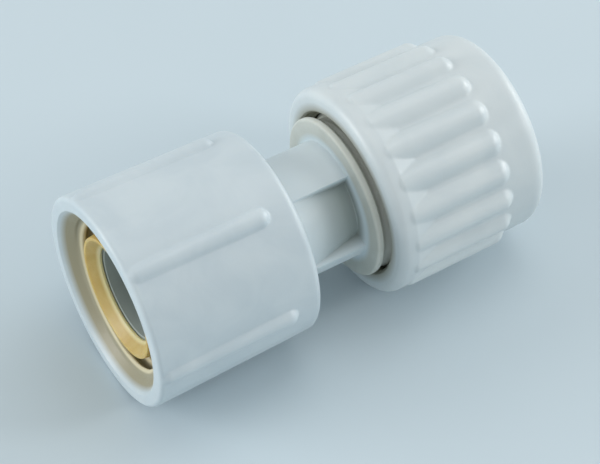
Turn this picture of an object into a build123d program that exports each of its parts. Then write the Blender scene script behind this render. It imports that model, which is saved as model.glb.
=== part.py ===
from build123d import *
import os
from math import cos, radians, sin, tan

# A moulded swivel coupling for half-inch plastic tube, lying on its side with its axis along X.
# The swivel nut with its pipe thread opens towards -X and the tube goes in from +X.
# Sizes are in millimetres, angles in degrees. Both threads are left as plain walls at their root.

os.makedirs("parts", exist_ok=True)

# Lengths along the axis
swivel_nut_length = 22.9
free_neck_length = 9.7
flange_thickness = 1.0
flange_gap = 0.5
compression_nut_length = 22.3

# Swivel nut
pipe_thread_root_diameter = 21.0
mouth_chamfer = 1.7
swivel_wall = 2.95
swivel_draft = 0.55
swivel_rib_count = 6
swivel_rib_height = 1.0
swivel_rib_round = 1.5
swivel_rib_angle = 0.0
swivel_plain_length = 3.5
swivel_edge_round = 1.0
mouth_edge_round = 0.6

# Cone washer
washer_depth_in_mouth = 1.5
washer_length = 10.5
washer_base_length = 2.5
washer_nose_wall = 1.0
washer_base_wall = 2.1
washer_dish_depth = 1.35
washer_dish_width = 0.6
washer_lip_height = 0.75
washer_lip_thickness = 0.3
washer_edge_chamfer = 0.2

# Tail of the body, inside the swivel nut
tail_bore_diameter = 12.0
tail_wall = 1.0
tail_head_length = 3.0
tail_head_height = 0.6
neck_diameter = 15.7
thrust_ring_thickness = 1.2
thrust_ring_overlap = 0.8
ring_split = 1.5

# Neck, flange and threaded barrel of the body
waterway_diameter = 9.2
pocket_count = 2
pocket_length = 8.6
pocket_floor_wall = 1.3
pocket_width_angle = 75.0
pocket_angle = 152.5
flange_diameter = 21.4
flange_edge_round = 0.4
barrel_length = 11.2
barrel_lip = 0.4
nut_thread_height = 0.8

# Tube and the insert that carries it
tube_diameter = 15.9
tube_wall = 1.75
tube_stop_depth = 1.7
insert_reach = 5.0
insert_nose_length = 1.5
insert_nose_drop = 0.6

# Split clamp ring
clamp_ring_wall = 1.2
clamp_ring_land = 3.0
clamp_nose_step = 0.15
clamp_back_step = 0.3
seat_angle = 30.0

# Compression nut
nut_thread_length = 12.0
nut_mouth_chamfer = 0.4
nut_wall = 2.4
nut_rim_length = 2.4
nut_rim_height = 0.75
nut_rim_run = 3.0
nut_rim_round = 1.2
nut_rim_back_round = 0.4
ridge_count = 20
ridge_height = 1.0
ridge_round = 1.75
ridge_length = 13.0
ridge_taper = 1.2
ridge_angle = 9.0
shoulder_drop = 0.1
shoulder_round = 1.1
tube_entry_chamfer = 0.6

# Clearances
tube_clearance = 0.2
insert_clearance = 0.15
washer_clearance = 0.05
running_clearance = 0.15
face_clearance = 0.1
passing_clearance = 0.2
thread_clearance = 0.3
tight_gap = 0.2

# Stations along the axis, all measured from the swivel nut's mouth
overall_length = (swivel_nut_length + free_neck_length + flange_thickness + flange_gap
                  + compression_nut_length)
washer_lip_back = washer_depth_in_mouth + washer_dish_depth + washer_lip_thickness
tail_end = washer_lip_back + face_clearance
head_front = washer_depth_in_mouth + washer_length
head_back = head_front + tail_head_length
thrust_ring_front = head_back + face_clearance
thrust_ring_back = thrust_ring_front + thrust_ring_thickness
swivel_shoulder = thrust_ring_back + face_clearance
flange_front = swivel_nut_length + free_neck_length
pocket_front = flange_front - pocket_length
flange_back = flange_front + flange_thickness
nut_face = flange_back + flange_gap
tightening_travel = flange_gap - tight_gap
tube_stop = flange_back + tube_stop_depth
barrel_end = flange_back + barrel_length
insert_end = barrel_end + insert_reach

# Radii, from the tube and the pipe thread outwards
waterway_radius = waterway_diameter / 2
tail_bore_radius = tail_bore_diameter / 2
tail_radius = tail_bore_radius + tail_wall
neck_radius = neck_diameter / 2
head_radius = neck_radius + tail_head_height
swivel_hole_radius = head_radius + passing_clearance
thrust_ring_radius = swivel_hole_radius + thrust_ring_overlap
pocket_floor_radius = waterway_radius + pocket_floor_wall
flange_radius = flange_diameter / 2
pipe_thread_radius = pipe_thread_root_diameter / 2
swivel_radius = pipe_thread_radius + swivel_wall
mouth_radius = swivel_radius + swivel_draft
washer_inner_radius = tail_radius + washer_clearance
washer_lip_radius = washer_inner_radius - washer_lip_height
washer_nose_radius = washer_inner_radius + washer_nose_wall
washer_base_radius = washer_inner_radius + washer_base_wall
tube_radius = tube_diameter / 2
tube_entry_radius = tube_radius + tube_clearance
insert_radius = tube_radius - tube_wall - insert_clearance
clamp_inner_radius = tube_radius + running_clearance
clamp_outer_radius = clamp_inner_radius + clamp_ring_wall
clamp_chamber_radius = clamp_outer_radius + thread_clearance
barrel_radius = clamp_outer_radius + barrel_lip
nut_thread_radius = barrel_radius + nut_thread_height + thread_clearance
nut_valley_radius = nut_thread_radius + nut_wall
nut_rim_radius = nut_valley_radius + nut_rim_height
ridge_centre_radius = nut_valley_radius + ridge_height - ridge_round
rib_centre_radius = swivel_radius + swivel_rib_height - swivel_rib_round

# Cone lengths along the axis of the clamp ring's two tapers and their seats
cone_slope = tan(radians(seat_angle))
barrel_seat_length = (clamp_outer_radius - tube_entry_radius) / cone_slope
clamp_land_front = barrel_end + tightening_travel + face_clearance
clamp_nose_length = (clamp_ring_wall - clamp_nose_step) / cone_slope
clamp_land_back = clamp_land_front + clamp_ring_land
clamp_back_length = (clamp_ring_wall - clamp_back_step) / cone_slope
nut_seat_front = clamp_land_back + face_clearance - thread_clearance / cone_slope
nut_seat_back = nut_seat_front + (clamp_chamber_radius - tube_entry_radius) / cone_slope


def lowest_reach(centre_radius, rounding, count, first_angle):
    """How far below the axis the lowest of a ring of rounded bars reaches."""
    pitch_angle = 360 / count
    past_lowest = (270 - first_angle) % pitch_angle
    return centre_radius * cos(radians(min(past_lowest, pitch_angle - past_lowest))) + rounding


# The axis lies as high as the lowest of what touches the surface below
rib_reach = lowest_reach(rib_centre_radius, swivel_rib_round, swivel_rib_count, swivel_rib_angle)
ridge_reach = lowest_reach(ridge_centre_radius, ridge_round, ridge_count, ridge_angle)
axis_height = max(mouth_radius, rib_reach, nut_rim_radius, ridge_reach)

mouth_x = -overall_length / 2
turning_axis = Axis((mouth_x, 0, axis_height), (1, 0, 0))


def section_plane(station):
    """Plane across the axis at a distance from the mouth, with Y to its right and Z up."""
    return Plane(origin=(mouth_x + station, 0, axis_height), x_dir=(0, 1, 0), z_dir=(1, 0, 0))


def plane_through_axis(angle):
    """Plane that holds the axis, with X to its right and radii upwards at an angle from Y."""
    facing = (0, -sin(radians(angle)), cos(radians(angle)))
    return Plane(origin=(mouth_x, 0, axis_height), x_dir=(1, 0, 0), z_dir=facing)


axial_plane = plane_through_axis(90)


# Body: tail, head, neck with pockets, flange, threaded barrel and tube insert in one moulding
with BuildPart() as coupling_body:
    with BuildSketch(axial_plane):
        with BuildLine():
            Polyline(
                (tail_end, tail_bore_radius),
                (tail_end, tail_radius),
                (head_front, tail_radius),
                (head_front, head_radius),
                (head_back, head_radius),
                (head_back, neck_radius),
                (flange_front, neck_radius),
                (flange_front, flange_radius),
                (flange_back, flange_radius),
                (flange_back, barrel_radius),
                (barrel_end, barrel_radius),
                (barrel_end, clamp_outer_radius),
                (barrel_end - barrel_seat_length, tube_entry_radius),
                (tube_stop, tube_entry_radius),
                (tube_stop, insert_radius),
                (insert_end - insert_nose_length, insert_radius),
                (insert_end, insert_radius - insert_nose_drop),
                (insert_end, waterway_radius),
                (head_back, waterway_radius),
                (head_back - (tail_bore_radius - waterway_radius), tail_bore_radius),
                close=True,
            )
        make_face()
    revolve(axis=turning_axis)
    flange_rims = (coupling_body.edges().filter_by(GeomType.CIRCLE)
                   .filter_by(lambda edge: abs(edge.radius - flange_radius) < 1e-6))
    flange_step = abs(flange_radius - barrel_radius)
    fillet(flange_rims, radius=min(flange_edge_round, 0.4 * flange_thickness, 0.6 * flange_step))
    for pocket in range(pocket_count):
        pocket_start = pocket_angle - pocket_width_angle / 2 + pocket * 360 / pocket_count
        with BuildSketch(plane_through_axis(pocket_start)):
            with BuildLine():
                Polyline(
                    (pocket_front, neck_radius),
                    (flange_front, pocket_floor_radius),
                    (flange_front, neck_radius + running_clearance),
                    (pocket_front, neck_radius + running_clearance),
                    close=True,
                )
            make_face()
        revolve(axis=turning_axis, revolution_arc=pocket_width_angle, mode=Mode.SUBTRACT)

# Swivel nut: low rounded ribs on a drafted barrel that is plain at the back, pipe thread inside
with BuildPart() as swivel_nut:
    with BuildSketch(axial_plane):
        with BuildLine():
            FilletPolyline(
                (0, 0),
                (0, mouth_radius),
                (swivel_nut_length, swivel_radius),
                (swivel_nut_length, 0),
                radius=[mouth_edge_round, swivel_edge_round],
            )
            Line((swivel_nut_length, 0), (0, 0))
        make_face()
    revolve(axis=turning_axis)
    rib_end = swivel_nut_length - swivel_plain_length - swivel_rib_round
    with BuildSketch(section_plane(swivel_rib_round)):
        with PolarLocations(rib_centre_radius, swivel_rib_count, swivel_rib_angle):
            Circle(swivel_rib_round)
    extrude(amount=rib_end - swivel_rib_round)
    for rib_tip in (swivel_rib_round, rib_end):
        with Locations(section_plane(rib_tip)):
            with PolarLocations(rib_centre_radius, swivel_rib_count, swivel_rib_angle):
                Sphere(swivel_rib_round)
    with BuildSketch(axial_plane):
        with BuildLine():
            Polyline(
                (0, 0),
                (0, pipe_thread_radius + mouth_chamfer),
                (mouth_chamfer, pipe_thread_radius),
                (swivel_shoulder, pipe_thread_radius),
                (swivel_shoulder, swivel_hole_radius),
                (swivel_nut_length, swivel_hole_radius),
                (swivel_nut_length, 0),
                close=True,
            )
        make_face()
    revolve(axis=turning_axis, mode=Mode.SUBTRACT)

# Thrust ring: split ring behind the tail's head, which the swivel nut pulls on
with BuildPart() as thrust_ring:
    with BuildSketch(section_plane(thrust_ring_front)):
        Circle(thrust_ring_radius)
        Circle(neck_radius + running_clearance, mode=Mode.SUBTRACT)
        with Locations((0, thrust_ring_radius)):
            Rectangle(ring_split, 2 * thrust_ring_radius - neck_radius, mode=Mode.SUBTRACT)
    extrude(amount=thrust_ring_thickness)

# Cone washer: soft tapered ring on the tail, dished towards a lip over the tail's end
with BuildPart() as cone_washer:
    with BuildSketch(axial_plane):
        with BuildLine():
            Polyline(
                (washer_depth_in_mouth + washer_dish_depth, washer_lip_radius),
                (washer_depth_in_mouth, washer_inner_radius + washer_dish_width),
                (washer_depth_in_mouth, washer_nose_radius - washer_edge_chamfer),
                (washer_depth_in_mouth + washer_edge_chamfer, washer_nose_radius),
                (head_front - washer_base_length, washer_base_radius),
                (head_front, washer_base_radius),
                (head_front, washer_inner_radius),
                (washer_lip_back, washer_inner_radius),
                (washer_lip_back, washer_lip_radius),
                close=True,
            )
        make_face()
    revolve(axis=turning_axis)

# Clamp ring: split ring with a taper at each end, which grips the tube on the insert
with BuildPart() as clamp_ring:
    with BuildSketch(axial_plane):
        with BuildLine():
            Polyline(
                (clamp_land_front - clamp_nose_length, clamp_inner_radius),
                (clamp_land_front - clamp_nose_length, clamp_inner_radius + clamp_nose_step),
                (clamp_land_front, clamp_outer_radius),
                (clamp_land_back, clamp_outer_radius),
                (clamp_land_back + clamp_back_length, clamp_inner_radius + clamp_back_step),
                (clamp_land_back + clamp_back_length, clamp_inner_radius),
                close=True,
            )
        make_face()
    revolve(axis=turning_axis)
    with BuildSketch(section_plane(clamp_land_front - clamp_nose_length)):
        with Locations((0, clamp_outer_radius)):
            Rectangle(ring_split, 4 * clamp_ring_wall)
    extrude(amount=clamp_nose_length + clamp_ring_land + clamp_back_length, mode=Mode.SUBTRACT)

# Compression nut: ridged grip, plain rounded end, coarse thread and clamp seat inside
with BuildPart() as compression_nut:
    with BuildSketch(axial_plane):
        with BuildLine():
            nut_end = nut_face + compression_nut_length
            rim_back = nut_face + nut_rim_length
            shoulder_radius = nut_valley_radius - shoulder_drop
            FilletPolyline(
                (nut_face, 0),
                (nut_face, nut_rim_radius),
                (rim_back, nut_rim_radius),
                (rim_back + nut_rim_run, nut_valley_radius),
                (nut_end, shoulder_radius),
                (nut_end, 0),
                radius=[nut_rim_round, nut_rim_back_round, nut_rim_back_round, shoulder_round],
            )
            Line((nut_end, 0), (nut_face, 0))
        make_face()
    revolve(axis=turning_axis)
    ridge_front = nut_face + nut_rim_length
    with BuildSketch(section_plane(ridge_front)):
        with PolarLocations(ridge_centre_radius, ridge_count, ridge_angle):
            Circle(ridge_round)
    extrude(amount=ridge_length, taper=ridge_taper)
    ridge_tip_round = ridge_round - ridge_length * tan(radians(ridge_taper))
    for ridge_tip, tip_round in ((ridge_front, ridge_round), (ridge_front + ridge_length, ridge_tip_round)):
        with Locations(section_plane(ridge_tip)):
            with PolarLocations(ridge_centre_radius, ridge_count, ridge_angle):
                Sphere(tip_round)
    with BuildSketch(axial_plane):
        with BuildLine():
            thread_end = nut_face + nut_thread_length
            Polyline(
                (nut_face, 0),
                (nut_face, nut_thread_radius + nut_mouth_chamfer),
                (nut_face + nut_mouth_chamfer, nut_thread_radius),
                (thread_end, nut_thread_radius),
                (thread_end + nut_thread_radius - clamp_chamber_radius, clamp_chamber_radius),
                (nut_seat_front, clamp_chamber_radius),
                (nut_seat_back, tube_entry_radius),
                (nut_end - tube_entry_chamfer, tube_entry_radius),
                (nut_end, tube_entry_radius + tube_entry_chamfer),
                (nut_end, 0),
                close=True,
            )
        make_face()
    revolve(axis=turning_axis, mode=Mode.SUBTRACT)

pieces = {
    "coupling_body": coupling_body,
    "swivel_nut": swivel_nut,
    "thrust_ring": thrust_ring,
    "cone_washer": cone_washer,
    "clamp_ring": clamp_ring,
    "compression_nut": compression_nut,
}
for name, piece in pieces.items():
    piece.part.label = name
    export_step(piece.part, f"parts/{name}.step")
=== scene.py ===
import math
import bmesh
import bpy
import numpy as np
from mathutils import Matrix, Vector


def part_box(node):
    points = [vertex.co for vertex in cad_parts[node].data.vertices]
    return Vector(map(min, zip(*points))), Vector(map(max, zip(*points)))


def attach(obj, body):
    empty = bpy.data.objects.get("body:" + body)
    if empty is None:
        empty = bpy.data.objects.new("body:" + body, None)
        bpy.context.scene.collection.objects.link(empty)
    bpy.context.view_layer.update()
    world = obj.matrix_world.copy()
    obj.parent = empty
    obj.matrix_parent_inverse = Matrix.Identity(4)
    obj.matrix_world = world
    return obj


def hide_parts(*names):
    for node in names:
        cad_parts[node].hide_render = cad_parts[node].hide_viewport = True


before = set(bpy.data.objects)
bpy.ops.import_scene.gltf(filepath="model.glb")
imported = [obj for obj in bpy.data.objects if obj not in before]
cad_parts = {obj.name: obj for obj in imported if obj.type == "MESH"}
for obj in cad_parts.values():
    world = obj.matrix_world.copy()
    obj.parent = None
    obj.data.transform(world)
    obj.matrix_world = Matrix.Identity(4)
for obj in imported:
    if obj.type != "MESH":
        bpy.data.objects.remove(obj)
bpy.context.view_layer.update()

# Every piece is turned about one axis along X. Stations and radii below are in millimetres,
# stations from the swivel nut's mouth, angles in degrees from +Y towards +Z.
mm = 0.001
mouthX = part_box("swivel_nut")[0].x
bodyLow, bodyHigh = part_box("coupling_body")
axisHeight = (bodyLow.z + bodyHigh.z) / 2
meshSet = {"arcStep": 13, "straightHalf": 89, "sharpAngle": 50}  # degrees
nearly = 0.01  # mm, how near counts as on a line or a radius


def station(x):
    return (x - mouthX) / mm


def linear(hexColour):
    # sRGB hex to the linear colour a shader wants
    channels = [int(hexColour[i:i + 2], 16) / 255 for i in (1, 3, 5)]
    return [c / 12.92 if c <= 0.04045 else ((c + 0.055) / 1.055) ** 2.4 for c in channels] + [1.0]


def addNode(tree, kind, settings=None, links=None):
    node = tree.nodes.new(kind)
    for key, value in (settings or {}).items():
        if isinstance(key, int) or key in node.inputs:
            node.inputs[key].default_value = value
        else:
            setattr(node, key, value)
    for key, source in (links or {}).items():
        tree.links.new(source, node.inputs[key])
    return node


def easeStep(t):
    t = np.clip(t, 0, 1)
    return t * t * (3 - 2 * t)


def fromNearest(turn, count, firstTurn):
    # angle to the nearest of the evenly spaced ribs
    gap = 2 * math.pi / count
    return (turn - firstTurn + gap / 2) % gap - gap / 2


def threadRise(x, turn, part, start, end):
    # 0 in the groove, 1 on the crest of a right-hand thread that fades in after start and out before end
    pitch = part["threadPitch"]
    along = (x - part["threadPhase"] - pitch * turn / (2 * math.pi) + pitch / 2) % pitch - pitch / 2
    crest = easeStep((part["threadLand"] / 2 + part["threadFlank"] - np.abs(along)) / part["threadFlank"])
    return crest * easeStep((x - start) / part["threadFadeIn"]) * easeStep((end - x) / part["threadFadeOut"])


def softMax(a, b, blend):
    # the larger of two radii, with a fillet where they cross
    h = np.clip(0.5 + 0.5 * (a - b) / blend, 0, 1)
    return b + (a - b) * h + blend * h * (1 - h)


def roundedSection(corners):
    # corners: station, radius, round, longest step on the run that leaves it
    count = len(corners)
    points = []
    steps = []
    for i, (x, r, rounding, step) in enumerate(corners):
        here = Vector((x, r))
        before = (Vector(corners[i - 1][:2]) - here).normalized()
        after = (Vector(corners[(i + 1) % count][:2]) - here).normalized()
        half = before.angle(after, 0) / 2
        if rounding > 0 and half < math.radians(meshSet["straightHalf"]):
            cut = rounding / math.tan(half)
            centre = here + (before + after).normalized() * rounding / math.sin(half)
            first = here + before * cut - centre
            last = here + after * cut - centre
            sweep = math.pi - 2 * half
            side = 1 if first.x * last.y - first.y * last.x > 0 else -1
            divisions = max(3, math.ceil(sweep / math.radians(meshSet["arcStep"])))
            for k in range(divisions + 1):
                bend = side * sweep * k / divisions
                points.append((centre.x + first.x * math.cos(bend) - first.y * math.sin(bend),
                               centre.y + first.x * math.sin(bend) + first.y * math.cos(bend)))
                steps.append(step)
        else:
            points.append((x, r))
            steps.append(step)
    path = []
    for i, point in enumerate(points):
        following = points[(i + 1) % len(points)]
        length = math.dist(point, following)
        divisions = max(1, math.ceil(length / steps[i] - nearly))
        for k in range(divisions):
            share = k / divisions
            path.append((point[0] + (following[0] - point[0]) * share,
                         point[1] + (following[1] - point[1]) * share))
    return np.array(path)


def anglesAround(count, firstTurn, halfWidth, fineStep, coarseStep):
    # close together over each rib, wider apart between them
    gap = 360 / count
    angles = []
    fine = round(2 * halfWidth / fineStep)
    coarse = round((gap - 2 * halfWidth) / coarseStep)
    for k in range(count):
        start = firstTurn + k * gap - halfWidth
        angles += [start + 2 * halfWidth * i / fine for i in range(fine)]
        angles += [start + 2 * halfWidth + (gap - 2 * halfWidth) * i / coarse for i in range(coarse)]
    return np.radians(angles)


def turnedPiece(name, section, turns, shape, body, node, material):
    x = section[:, :1]
    turn = turns[None, :]
    radius = shape(x, section[:, 1:], turn) * mm
    grid = np.stack([mouthX + x * mm + 0 * turn,
                     radius * np.cos(turn),
                     axisHeight + radius * np.sin(turn)], axis=-1)
    rows, columns = radius.shape
    index = np.arange(rows * columns).reshape(rows, columns)
    down = np.roll(index, -1, axis=0)
    faces = np.stack([index, np.roll(index, -1, axis=1), np.roll(down, -1, axis=1), down], axis=-1)
    mesh = bpy.data.meshes.new(name)
    mesh.from_pydata(grid.reshape(-1, 3).tolist(), [], faces.reshape(-1, 4).tolist())
    outward = bmesh.new()
    outward.from_mesh(mesh)
    bmesh.ops.recalc_face_normals(outward, faces=outward.faces)
    outward.to_mesh(mesh)
    outward.free()
    mesh.shade_smooth()
    mesh.set_sharp_from_angle(angle=math.radians(meshSet["sharpAngle"]))
    mesh.materials.append(material)
    piece = bpy.data.objects.new(name, mesh)
    bpy.context.scene.collection.objects.link(piece)
    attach(piece, body)
    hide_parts(node)
    print(name, "has", len(mesh.polygons), "faces")


# Materials. Each is a skin with pale flow marks. Nearer the axis than each listed radius, a painted colour
# takes over as far as a given station: painted shade where less light reaches, in bores, pockets and on
# faces, and painted light on thread crests, the neck and the washer's inner lip. Moulding grain is finer
# than a pixel, so grainSize draws it coarser, at about 0.3 mm, to show.
def mouldedPlastic(name, look):
    material = bpy.data.materials.new(name)
    material.use_nodes = True
    tree = material.node_tree
    shader = tree.nodes["Principled BSDF"]
    place = addNode(tree, "ShaderNodeTexCoord").outputs["Object"]
    flow = addNode(tree, "ShaderNodeTexNoise",
                   {"Scale": 1 / (look["flowSize"] * mm), "Detail": 3.0, "Roughness": 0.55,
                    "Distortion": 0.8},
                   {"Vector": place})
    grain = addNode(tree, "ShaderNodeTexNoise",
                    {"Scale": 1 / (look["grainSize"] * mm), "Detail": 2.0, "Roughness": 0.6},
                    {"Vector": place})
    ripple = addNode(tree, "ShaderNodeTexNoise",
                     {"Scale": 1 / (look["rippleSize"] * mm), "Detail": 1.0},
                     {"Vector": place})
    patch = addNode(tree, "ShaderNodeMapRange",
                    {"From Min": 0.35, "From Max": 0.65}, {"Value": flow.outputs["Fac"]})
    colour = addNode(tree, "ShaderNodeMix",
                     {"data_type": "RGBA", 6: linear(look["colour"]), 7: linear(look["flowColour"])},
                     {0: patch.outputs["Result"]})
    fromAxis = addNode(tree, "ShaderNodeVectorMath", {"operation": "SUBTRACT", 1: (0, 0, axisHeight)},
                       {0: place})
    across = addNode(tree, "ShaderNodeVectorMath", {"operation": "MULTIPLY", 1: (0, 1, 1)},
                     {0: fromAxis.outputs["Vector"]})
    radius = addNode(tree, "ShaderNodeVectorMath", {"operation": "LENGTH"}, {0: across.outputs["Vector"]})
    along = addNode(tree, "ShaderNodeSeparateXYZ", {}, {"Vector": place})
    beyond = addNode(tree, "ShaderNodeMath",
                     {"operation": "GREATER_THAN", 1: mouthX + look["paintStop"] * mm},
                     {0: along.outputs["X"]})
    # each band paints shade or light into the colour by distance from the axis
    for paintedBand in look["paintedShadeAndLight"]:
        outer = addNode(tree, "ShaderNodeMapRange",
                        {"From Min": (paintedBand["radius"] - paintedBand["soft"]) * mm,
                         "From Max": (paintedBand["radius"] + paintedBand["soft"]) * mm},
                        {"Value": radius.outputs["Value"]})
        unpainted = addNode(tree, "ShaderNodeMath", {"operation": "MAXIMUM"},
                           {0: outer.outputs["Result"], 1: beyond.outputs["Value"]})
        colour = addNode(tree, "ShaderNodeMix", {"data_type": "RGBA", 6: linear(paintedBand["colour"])},
                         {0: unpainted.outputs["Value"], 7: colour.outputs[2]})
    gloss = addNode(tree, "ShaderNodeMapRange",
                    {"From Min": 0.3, "From Max": 0.7,
                     "To Min": look["roughness"] - look["roughnessSpread"],
                     "To Max": look["roughness"] + look["roughnessSpread"]},
                    {"Value": grain.outputs["Fac"]})
    waves = addNode(tree, "ShaderNodeBump",
                    {"Strength": 1.0, "Distance": look["rippleDepth"] * mm},
                    {"Height": ripple.outputs["Fac"]})
    skin = addNode(tree, "ShaderNodeBump",
                   {"Strength": 1.0, "Distance": look["grainDepth"] * mm},
                   {"Height": grain.outputs["Fac"], "Normal": waves.outputs["Normal"]})
    tree.links.new(colour.outputs[2], shader.inputs["Base Color"])
    tree.links.new(gloss.outputs["Result"], shader.inputs["Roughness"])
    tree.links.new(skin.outputs["Normal"], shader.inputs["Normal"])
    shader.inputs["IOR"].default_value = look["ior"]
    shader.inputs["Subsurface Weight"].default_value = look["translucency"]
    shader.inputs["Subsurface Radius"].default_value = look["scatter"]
    shader.inputs["Subsurface Scale"].default_value = look["scatterDepth"] * mm
    return material


# Moulded acetal, cool white: satin skin with faint flow marks, edges that glow a little, painted olive shade
# in the mouth and painted cream light on its thread crests
swivelPlastic = mouldedPlastic("MouldedAcetalCoolWhite", {
    "colour": "#C1CED4", "flowColour": "#C8D4D9", "flowSize": 7.0, "paintStop": 20.0,
    "paintedShadeAndLight": [{"radius": 11.65, "soft": 0.3, "colour": "#9D9880"},
              {"radius": 10.05, "soft": 0.15, "colour": "#D3CAAA"}],
    "grainSize": 0.32, "grainDepth": 0.006, "rippleSize": 2.6, "rippleDepth": 0.03,
    "roughness": 0.4, "roughnessSpread": 0.07, "ior": 1.48,
    "translucency": 0.25, "scatter": (1.0, 0.9, 0.8), "scatterDepth": 1.2,
})
# Moulded acetal, warmer white: the same skin, a little brighter and smoother, with painted shade in the bore
# that fades out across the front face
nutPlastic = mouldedPlastic("MouldedAcetalWarmWhite", {
    "colour": "#CAD4D7", "flowColour": "#D0D9DB", "flowSize": 8.0, "paintStop": 50.0,
    "paintedShadeAndLight": [{"radius": 11.65, "soft": 0.75, "colour": "#8F8E7C"}],
    "grainSize": 0.32, "grainDepth": 0.005, "rippleSize": 2.8, "rippleDepth": 0.025,
    "roughness": 0.38, "roughnessSpread": 0.07, "ior": 1.48,
    "translucency": 0.25, "scatter": (1.0, 0.92, 0.84), "scatterDepth": 1.2,
})
# Moulded acetal, pale grey: duller skin; painted light makes the neck lighter and cooler, painted shade
# makes the bore and the pockets greyer
bodyPlastic = mouldedPlastic("MouldedAcetalPaleGrey", {
    "colour": "#C2C6BE", "flowColour": "#C9CDC6", "flowSize": 5.0, "paintStop": 60.0,
    "paintedShadeAndLight": [{"radius": 8.5, "soft": 0.4, "colour": "#D5E1E5"},
              {"radius": 6.9, "soft": 0.7, "colour": "#9CA6A3"}],
    "grainSize": 0.3, "grainDepth": 0.006, "rippleSize": 2.2, "rippleDepth": 0.025,
    "roughness": 0.44, "roughnessSpread": 0.08, "ior": 1.48,
    "translucency": 0.2, "scatter": (1.0, 0.9, 0.75), "scatterDepth": 1.0,
})
# Moulded nylon, natural: creamy and dull
ringPlastic = mouldedPlastic("MouldedNylonNatural", {
    "colour": "#D8D3BE", "flowColour": "#E0DCCB", "flowSize": 4.0, "paintStop": 60.0,
    "paintedShadeAndLight": [{"radius": 7.0, "soft": 0.5, "colour": "#D8D3BE"}],
    "grainSize": 0.25, "grainDepth": 0.008, "rippleSize": 1.8, "rippleDepth": 0.02,
    "roughness": 0.5, "roughnessSpread": 0.08, "ior": 1.53,
    "translucency": 0.3, "scatter": (1.0, 0.85, 0.6), "scatterDepth": 1.2,
})
# Moulded rubber, translucent amber: soft gloss, with a painted highlight on its thin inner lip
washerRubber = mouldedPlastic("MouldedRubberAmber", {
    "colour": "#BEA25A", "flowColour": "#C8B06D", "flowSize": 3.5, "paintStop": 60.0,
    "paintedShadeAndLight": [{"radius": 6.6, "soft": 0.15, "colour": "#DACD9A"}],
    "grainSize": 0.28, "grainDepth": 0.008, "rippleSize": 1.6, "rippleDepth": 0.03,
    "roughness": 0.46, "roughnessSpread": 0.08, "ior": 1.52,
    "translucency": 0.4, "scatter": (1.0, 0.7, 0.3), "scatterDepth": 1.5,
})
print("materials ready")

# Swivel nut: ribbed outside, pipe thread inside, shoulder for the thrust ring at the back
swivelNut = {
    "mouthRadius": 14.0, "backRadius": 13.45, "mouthRound": 0.6, "backRound": 1.0, "wall": 1.0,
    "ribCount": 6, "ribFirst": 0.0, "ribCrest": 14.45, "ribRound": 1.5, "ribFoot": 0.3,
    "ribFront": 1.5, "ribStop": 17.9, "ringGap": 0.1,
    "threadRoot": 10.5, "threadCrest": 9.6, "mouthChamfer": 1.7, "backHole": 8.65,
    "threadPitch": 1.814, "threadPhase": 2.46, "threadLand": 0.3, "threadFlank": 0.6,
    "threadStart": 1.3, "threadEnd": 15.4, "threadFadeIn": 0.6, "threadFadeOut": 1.2,
    "fineFront": 3.2, "fineFrom": 17.0, "fineTo": 20.0,  # stations with close steps, at the ribs' ends
    "ribSpread": 9.5, "fineTurn": 0.6, "coarseTurn": 2.4,
}
swivelLength = station(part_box("swivel_nut")[1].x)
swivelShoulder = station(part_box("thrust_ring")[1].x) + swivelNut["ringGap"]


def swivelShape(x, r, turn):
    part = swivelNut
    across = part["ribCrest"] * fromNearest(turn, part["ribCount"], math.radians(part["ribFirst"]))
    beyond = np.clip(part["ribFront"] - x, 0, None) + np.clip(x - part["ribStop"], 0, None)
    under = part["ribRound"] ** 2 - across ** 2 - beyond ** 2
    rib = np.where(under > 0, part["ribCrest"] - part["ribRound"] + np.sqrt(np.clip(under, 0, None)), 0)
    ridge = threadRise(x, turn, part, part["threadStart"], part["threadEnd"])
    onThread = np.abs(r - part["threadRoot"]) < nearly
    outside = np.where(r > part["backRadius"] - part["wall"], softMax(rib, r, part["ribFoot"]), r)
    return outside - onThread * ridge * (part["threadRoot"] - part["threadCrest"])


def barrelAt(x):
    share = x / swivelLength
    return swivelNut["mouthRadius"] + (swivelNut["backRadius"] - swivelNut["mouthRadius"]) * share


swivelSection = roundedSection([
    (0, swivelNut["threadRoot"] + swivelNut["mouthChamfer"], 0.15, 0.5),  # lip
    (0, barrelAt(0), swivelNut["mouthRound"], 0.15),
    (swivelNut["fineFront"], barrelAt(swivelNut["fineFront"]), 0, 1.2),  # barrel
    (swivelNut["fineFrom"], barrelAt(swivelNut["fineFrom"]), 0, 0.15),
    (swivelNut["fineTo"], barrelAt(swivelNut["fineTo"]), 0, 0.6),
    (swivelLength, barrelAt(swivelLength), swivelNut["backRound"], 0.8),  # back
    (swivelLength, swivelNut["backHole"], 0.3, 1.5),
    (swivelShoulder, swivelNut["backHole"], 0.2, 0.8),  # shoulder
    (swivelShoulder, swivelNut["threadRoot"], 0.3, 0.14),  # thread
    (swivelNut["mouthChamfer"], swivelNut["threadRoot"], 0, 0.2),  # mouth's chamfer
])
turnedPiece("swivelNut", swivelSection,
            anglesAround(swivelNut["ribCount"], swivelNut["ribFirst"], swivelNut["ribSpread"],
                         swivelNut["fineTurn"], swivelNut["coarseTurn"]),
            swivelShape, "swivel", "swivel_nut", swivelPlastic)

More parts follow.
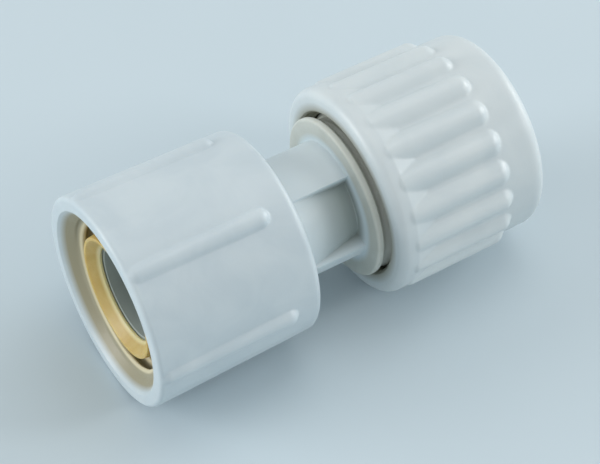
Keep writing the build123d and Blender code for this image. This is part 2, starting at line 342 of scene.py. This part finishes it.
# Cone washer: dished nose with a thin lip over the end of the tail
washerLow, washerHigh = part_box("cone_washer")
washerFront = station(washerLow.x)
washerBack = station(washerHigh.x)
coneWasher = {
    "innerRadius": 7.05, "noseRadius": 8.05, "baseRadius": 9.15, "baseLength": 2.5,
    "dishDepth": 1.35, "dishWidth": 0.6, "lipRadius": 6.3, "lipThickness": 0.3, "edgeRound": 0.12,
    "turnStep": 2.0,
}
lipFront = washerFront + coneWasher["dishDepth"]
lipBack = lipFront + coneWasher["lipThickness"]
washerSection = roundedSection([
    (lipFront, coneWasher["lipRadius"], coneWasher["edgeRound"], 0.2),  # dish
    (washerFront, coneWasher["innerRadius"] + coneWasher["dishWidth"], coneWasher["edgeRound"], 0.2),
    (washerFront, coneWasher["noseRadius"], coneWasher["edgeRound"], 0.6),  # cone
    (washerBack - coneWasher["baseLength"], coneWasher["baseRadius"], 0.3, 0.6),  # base
    (washerBack, coneWasher["baseRadius"], 0.2, 0.6),
    (washerBack, coneWasher["innerRadius"], 0.1, 1.0),  # hole for the tail
    (lipBack, coneWasher["innerRadius"], 0.05, 0.3),  # lip
    (lipBack, coneWasher["lipRadius"], 0.1, 0.2),
])
turnedPiece("coneWasher", washerSection, np.radians(np.arange(0, 360, coneWasher["turnStep"])),
            lambda x, r, turn: r + 0 * turn, "body", "cone_washer", washerRubber)

# Coupling body: tail, neck with two ramped pockets, flange, threaded barrel, socket and insert
couplingBody = {
    "tailBore": 6.0, "tailRadius": 7.0, "headRadius": 8.45, "headLength": 3.0, "neckRadius": 7.85,
    "flangeFront": 32.6, "flangeThickness": 1.0, "flangeRadius": 10.7,
    "pocketCount": 2, "pocketMiddle": 152.5, "pocketHalf": 37.5, "pocketLength": 8.6, "pocketFloor": 5.9,
    "pocketSide": 0.22, "neckFillet": 0.25, "pocketReach": 0.3,
    "barrelRadius": 9.7, "barrelLength": 11.2, "seatRadius": 9.3, "seatAngle": 30,
    "socketRadius": 8.15, "tubeStop": 35.3,
    "insertRadius": 6.05, "noseLength": 1.5, "noseDrop": 0.6, "waterway": 4.6,
    "threadCrest": 10.45, "threadPitch": 3.0, "threadPhase": 0.4, "threadLand": 0.75, "threadFlank": 0.65,
    "threadLead": 0.5, "threadTrail": 0.3, "threadFadeIn": 1.2, "threadFadeOut": 1.2,
    "pocketSpread": 39.0, "fineTurn": 0.5, "coarseTurn": 2.0,
}
tailEnd = station(bodyLow.x)
headFront = washerBack
headBack = headFront + couplingBody["headLength"]
flangeBack = couplingBody["flangeFront"] + couplingBody["flangeThickness"]
pocketFront = couplingBody["flangeFront"] - couplingBody["pocketLength"]
barrelEnd = flangeBack + couplingBody["barrelLength"]
insertEnd = station(bodyHigh.x)
seatRise = couplingBody["seatRadius"] - couplingBody["socketRadius"]
seatLength = seatRise / math.tan(math.radians(couplingBody["seatAngle"]))


def bodyShape(x, r, turn):
    part = couplingBody
    fromMiddle = np.abs(fromNearest(turn, part["pocketCount"], math.radians(part["pocketMiddle"])))
    inward = part["neckRadius"] * (math.radians(part["pocketHalf"]) - fromMiddle)
    along = np.clip((x - pocketFront) / part["pocketLength"], 0, 1)
    depth = (part["neckRadius"] - part["pocketFloor"]) * along * easeStep(inward / part["pocketSide"] + 0.5)
    nearNeck = np.abs(r - part["neckRadius"]) < part["pocketReach"]
    onNeck = nearNeck & (x > pocketFront) & (x < part["flangeFront"] + nearly)
    ridge = threadRise(x, turn, part, flangeBack + part["threadLead"], barrelEnd - part["threadTrail"])
    onBarrel = (np.abs(r - part["barrelRadius"]) < nearly) & (x > flangeBack)
    return r - onNeck * depth + onBarrel * ridge * (part["threadCrest"] - part["barrelRadius"])


bodySection = roundedSection([
    (tailEnd, couplingBody["tailBore"], 0.05, 0.4),  # tail
    (tailEnd, couplingBody["tailRadius"], 0.25, 1.5),
    (headFront, couplingBody["tailRadius"], 0.1, 0.5),  # head
    (headFront, couplingBody["headRadius"], 0.2, 0.8),
    (headBack, couplingBody["headRadius"], 0.2, 0.5),
    (headBack, couplingBody["neckRadius"], 0.15, 1.5),  # neck
    (pocketFront, couplingBody["neckRadius"], 0, 0.4),
    (couplingBody["flangeFront"], couplingBody["neckRadius"], couplingBody["neckFillet"], 0.25),  # flange
    (couplingBody["flangeFront"], couplingBody["flangeRadius"], 0.35, 0.6),
    (flangeBack, couplingBody["flangeRadius"], 0.35, 0.4),
    (flangeBack, couplingBody["barrelRadius"], 0.7, 0.18),  # threaded barrel
    (barrelEnd, couplingBody["barrelRadius"], 0.2, 0.3),
    (barrelEnd, couplingBody["seatRadius"], 0.1, 0.5),  # seat of the clamp ring
    (barrelEnd - seatLength, couplingBody["socketRadius"], 0.1, 1.5),  # socket
    (couplingBody["tubeStop"], couplingBody["socketRadius"], 0.3, 0.8),
    (couplingBody["tubeStop"], couplingBody["insertRadius"], 0.3, 1.5),  # insert
    (insertEnd - couplingBody["noseLength"], couplingBody["insertRadius"], 0.3, 0.5),
    (insertEnd, couplingBody["insertRadius"] - couplingBody["noseDrop"], 0.25, 0.4),
    (insertEnd, couplingBody["waterway"], 0.2, 2.0),  # waterway
    (headBack, couplingBody["waterway"], 0.3, 0.5),
    (headBack - couplingBody["tailBore"] + couplingBody["waterway"], couplingBody["tailBore"], 0.3, 1.5),
])
turnedPiece("couplingBody", bodySection,
            anglesAround(couplingBody["pocketCount"], couplingBody["pocketMiddle"],
                         couplingBody["pocketSpread"], couplingBody["fineTurn"], couplingBody["coarseTurn"]),
            bodyShape, "body", "coupling_body", bodyPlastic)

# Compression nut: rim, ridges that swell out of it, plain shoulder, thread and clamp seat inside
nutLow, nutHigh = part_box("compression_nut")
compressionNut = {
    "rimRadius": 13.95, "rimLength": 2.4, "rimStep": 3.0, "rimRound": 1.2, "rimBackRound": 1.5,
    "valleyRadius": 13.2, "ridgeCount": 20, "ridgeFirst": 9.0, "ridgeHeight": 1.0, "ridgeFullness": 1.2,
    "ridgeHalfFront": 1.98, "ridgeHalfBack": 1.75, "ridgeFront": 36.5, "ridgeStop": 49.4,
    "ridgeFrontEnd": 1.0, "ridgeBackEnd": 1.6, "ridgeFoot": 0.06,
    "gripUnder": 0.4, "gripFront": 0.2, "gripBehind": 2.5,  # where the ridges may rise
    "fineFrom": 48.8, "fineTo": 51.4, "fineFromDrop": 0.06, "fineToRise": 0.02,  # close steps at their ends
    "shoulderRadius": 13.1, "shoulderRound": 1.9, "entryChamfer": 0.6,
    "threadRoot": 10.8, "threadCrest": 9.95, "mouthChamfer": 0.4, "threadLength": 12.0,
    "threadPitch": 3.0, "threadPhase": 1.9, "threadLand": 0.75, "threadFlank": 0.65,
    "threadLead": 1.0, "threadTrail": 0.3, "threadFadeIn": 1.2, "threadFadeOut": 1.2,
    "chamberRadius": 9.6, "seatFront": 47.78, "seatBack": 50.29, "tubeEntry": 8.15,
    "turnStep": 1.0,
}
nutFace = station(nutLow.x)
nutEnd = station(nutHigh.x)
rimBack = nutFace + compressionNut["rimLength"]
threadStop = nutFace + compressionNut["threadLength"]
chamberFront = threadStop + compressionNut["threadRoot"] - compressionNut["chamberRadius"]


def nutShape(x, r, turn):
    part = compressionNut
    share = np.clip((x - part["ridgeFront"]) / (part["ridgeStop"] - part["ridgeFront"]), 0, 1)
    halfWidth = part["ridgeHalfFront"] + (part["ridgeHalfBack"] - part["ridgeHalfFront"]) * share
    across = part["valleyRadius"] * fromNearest(turn, part["ridgeCount"], math.radians(part["ridgeFirst"]))
    front = np.clip(part["ridgeFront"] - x, 0, None) / part["ridgeFrontEnd"]
    back = np.clip(x - part["ridgeStop"], 0, None) / part["ridgeBackEnd"]
    reach = np.sqrt((across / halfWidth) ** 2 + front ** 2 + back ** 2)
    lift = part["ridgeHeight"] * (1 - np.clip(reach, 0, 1) ** 2) ** part["ridgeFullness"]
    onGrip = (x > nutFace + part["gripFront"]) & (x < part["ridgeStop"] + part["gripBehind"])
    onGrip = onGrip & (r > part["valleyRadius"] - part["gripUnder"])
    raised = softMax(r, np.minimum(r, part["valleyRadius"]) + lift, part["ridgeFoot"])
    ridge = threadRise(x, turn, part, nutFace + part["threadLead"], threadStop - part["threadTrail"])
    onThread = np.abs(r - part["threadRoot"]) < nearly
    drop = onThread * ridge * (part["threadRoot"] - part["threadCrest"])
    return np.where(onGrip, raised, r) - drop


nutSection = roundedSection([
    (nutFace, compressionNut["threadRoot"] + compressionNut["mouthChamfer"], 0.15, 0.5),  # rim
    (nutFace, compressionNut["rimRadius"], compressionNut["rimRound"], 0.2),
    (rimBack, compressionNut["rimRadius"], compressionNut["rimBackRound"], 0.2),
    (rimBack + compressionNut["rimStep"], compressionNut["valleyRadius"],
     compressionNut["rimBackRound"], 1.2),  # valleys
    (compressionNut["fineFrom"], compressionNut["valleyRadius"] - compressionNut["fineFromDrop"], 0, 0.15),
    (compressionNut["fineTo"], compressionNut["shoulderRadius"] + compressionNut["fineToRise"], 0, 0.6),
    (nutEnd, compressionNut["shoulderRadius"], compressionNut["shoulderRound"], 0.6),  # end
    (nutEnd, compressionNut["tubeEntry"] + compressionNut["entryChamfer"], 0.15, 0.4),
    (nutEnd - compressionNut["entryChamfer"], compressionNut["tubeEntry"], 0.15, 1.2),  # tube's entry
    (compressionNut["seatBack"], compressionNut["tubeEntry"], 0.2, 0.8),  # clamp ring's seat
    (compressionNut["seatFront"], compressionNut["chamberRadius"], 0.2, 0.5),
    (chamberFront, compressionNut["chamberRadius"], 0.2, 0.5),  # chamber
    (threadStop, compressionNut["threadRoot"], 0.2, 0.18),  # thread
    (nutFace + compressionNut["mouthChamfer"], compressionNut["threadRoot"], 0, 0.3),
])
turnedPiece("compressionNut", nutSection, np.radians(np.arange(0, 360, compressionNut["turnStep"])),
            nutShape, "nut", "compression_nut", nutPlastic)

# Rings inside keep their CAD shape
for ringName in ("thrust_ring", "clamp_ring"):
    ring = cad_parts[ringName]
    ring.data.materials.clear()
    ring.data.materials.append(ringPlastic)
print("pieces ready")

# Stage
stageLook = {
    "floorColour": "#C9D7DE", "floorShade": "#C4D3DA", "shadeSize": 40.0, "floorSize": 4.0,
    "floorRoughness": 0.9, "floorSpecular": 0.1,
}
floorMesh = bpy.data.meshes.new("floor")
floorHalf = stageLook["floorSize"] / 2
floorMesh.from_pydata([(-floorHalf, -floorHalf, 0), (floorHalf, -floorHalf, 0),
                       (floorHalf, floorHalf, 0), (-floorHalf, floorHalf, 0)], [], [(0, 1, 2, 3)])
floor = bpy.data.objects.new("floor", floorMesh)
bpy.context.scene.collection.objects.link(floor)
paper = bpy.data.materials.new("PaperMatteBlueGrey")  # seamless paper: pale, cool, hardly any gloss
paper.use_nodes = True
paperTree = paper.node_tree
paperPlace = addNode(paperTree, "ShaderNodeTexCoord").outputs["Object"]
paperTone = addNode(paperTree, "ShaderNodeTexNoise",
                    {"Scale": 1 / (stageLook["shadeSize"] * mm), "Detail": 2.0},
                    {"Vector": paperPlace})
paperColour = addNode(paperTree, "ShaderNodeMix",
                      {"data_type": "RGBA", 6: linear(stageLook["floorColour"]),
                       7: linear(stageLook["floorShade"])},
                      {0: paperTone.outputs["Fac"]})
paperShader = paperTree.nodes["Principled BSDF"]
paperTree.links.new(paperColour.outputs[2], paperShader.inputs["Base Color"])
paperShader.inputs["Roughness"].default_value = stageLook["floorRoughness"]
paperShader.inputs["Specular IOR Level"].default_value = stageLook["floorSpecular"]
floorMesh.materials.append(paper)

# Light: distances and sizes in metres, powers in watts
lightSet = {"worldColour": "#F8FBFC", "worldStrength": 0.6, "lampDistance": 1.2}
lamps = (
    {"name": "leftLight", "turn": 154, "height": 16, "size": 0.72, "power": 7.6},
    {"name": "rightLight", "turn": 358, "height": 16, "size": 0.72, "power": 6.2},
    {"name": "frontLight", "turn": 322, "height": 28, "size": 0.3, "power": 2.2},
    {"name": "topLight", "turn": 20, "height": 76, "size": 0.72, "power": 1.9},
)
world = bpy.data.worlds.new("studio")
world.use_nodes = True
bpy.context.scene.world = world
worldLight = world.node_tree.nodes["Background"]
worldLight.inputs["Color"].default_value = linear(lightSet["worldColour"])
worldLight.inputs["Strength"].default_value = lightSet["worldStrength"]
objectMiddle = Vector((0, 0, axisHeight))
for part in lamps:
    lamp = bpy.data.lights.new(part["name"], "AREA")
    lamp.shape = "DISK"
    lamp.size = part["size"]
    lamp.energy = part["power"]
    holder = bpy.data.objects.new(part["name"], lamp)
    turn = math.radians(part["turn"])
    height = math.radians(part["height"])
    away = Vector((math.cos(height) * math.cos(turn), math.cos(height) * math.sin(turn), math.sin(height)))
    holder.location = objectMiddle + away * lightSet["lampDistance"]
    holder.rotation_euler = away.to_track_quat("Z", "Y").to_euler()
    bpy.context.scene.collection.objects.link(holder)

# Camera, at the photograph's viewing angle
shot = {
    "azimuth": -31.38, "elevation": 49.76, "distance": 299.3, "pixelsPerMm": 8.0, "imageWidth": 600,
    "aimStation": 28.1, "aimRight": -0.28, "aimUp": -2.49, "sensorWidth": 36, "clipStart": 10.0,
}
azimuth = math.radians(shot["azimuth"])
elevation = math.radians(shot["elevation"])
back = Vector((math.sin(azimuth) * math.cos(elevation), -math.cos(azimuth) * math.cos(elevation),
               math.sin(elevation)))
right = Vector((math.cos(azimuth), math.sin(azimuth), 0))
up = back.cross(right)
aim = Vector((mouthX + shot["aimStation"] * mm, 0, axisHeight))
aim += (right * shot["aimRight"] + up * shot["aimUp"]) * mm
lens = bpy.data.cameras.new("camera")
lens.sensor_width = shot["sensorWidth"]
lens.lens = shot["distance"] * shot["pixelsPerMm"] * shot["sensorWidth"] / shot["imageWidth"]
lens.clip_start = shot["clipStart"] * mm
camera = bpy.data.objects.new("camera", lens)
camera.matrix_world = Matrix((right, up, back)).transposed().to_4x4()
camera.location = aim + back * shot["distance"] * mm
bpy.context.scene.collection.objects.link(camera)
bpy.context.scene.camera = camera
bpy.context.scene.view_settings.view_transform = "Standard"
print("camera and lights ready")
